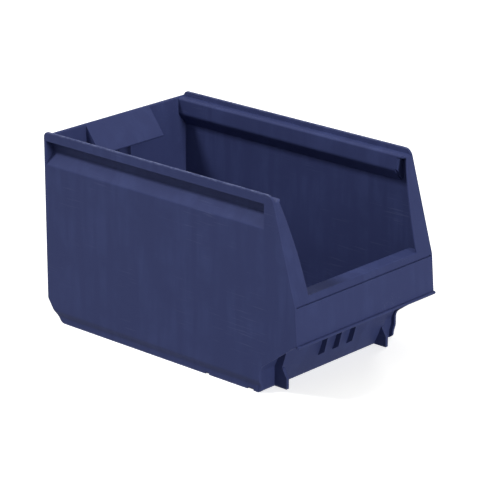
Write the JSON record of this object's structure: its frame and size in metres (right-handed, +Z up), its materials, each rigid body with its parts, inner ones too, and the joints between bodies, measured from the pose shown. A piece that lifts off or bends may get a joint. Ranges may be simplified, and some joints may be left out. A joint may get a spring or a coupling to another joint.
{
  "type": "stackable storage box",
  "caption": "Open-front stacking storage box with ridged side rims, finger recesses, label front with grip nose, rear grip hood and stacking foot.",
  "frame": {"origin": "on the surface under the box, at the centre of its overall width and length", "axes": "+Z up, the open picking front towards -Y, the grip end towards +Y, +X to the right of someone facing the front"},
  "size_m": [0.2, 0.3334, 0.1976],
  "materials": {
    "moulded_plastic": "dark navy blue polypropylene, fine satin texture"
  },
  "bodies": {
    "root": {"corner_panel_left": "moulded_plastic", "corner_panel_right": "moulded_plastic", "corner_step_left": "moulded_plastic", "corner_step_right": "moulded_plastic", "floor": "moulded_plastic", "front_flange_left": "moulded_plastic", "front_flange_right": "moulded_plastic", "front_lip": "moulded_plastic", "front_post_left": "moulded_plastic", "front_post_right": "moulded_plastic", "front_wall": "moulded_plastic", "grip_cheek_left": "moulded_plastic", "grip_cheek_right": "moulded_plastic", "grip_hood": "moulded_plastic", "grip_rib": "moulded_plastic", "label_ledge": "moulded_plastic", "label_panel": "moulded_plastic", "lip_return_left": "moulded_plastic", "lip_return_right": "moulded_plastic", "nose_cheek_left": "moulded_plastic", "nose_cheek_right": "moulded_plastic", "nose_panel": "moulded_plastic", "nose_rib_1": "moulded_plastic", "nose_rib_2": "moulded_plastic", "nose_rib_3": "moulded_plastic", "rear_heel": "moulded_plastic", "rear_wall": "moulded_plastic", "recess_end_left": "moulded_plastic", "recess_end_right": "moulded_plastic", "recess_flare_left": "moulded_plastic", "recess_flare_right": "moulded_plastic", "recess_wall_left": "moulded_plastic", "recess_wall_right": "moulded_plastic", "rim_shelf_left": "moulded_plastic", "rim_shelf_right": "moulded_plastic", "side_wall_left": "moulded_plastic", "side_wall_right": "moulded_plastic", "stacking_fin_left": "moulded_plastic", "stacking_fin_right": "moulded_plastic", "stacking_ridge_left": "moulded_plastic", "stacking_ridge_right": "moulded_plastic"}
  },
  "joints": []
}
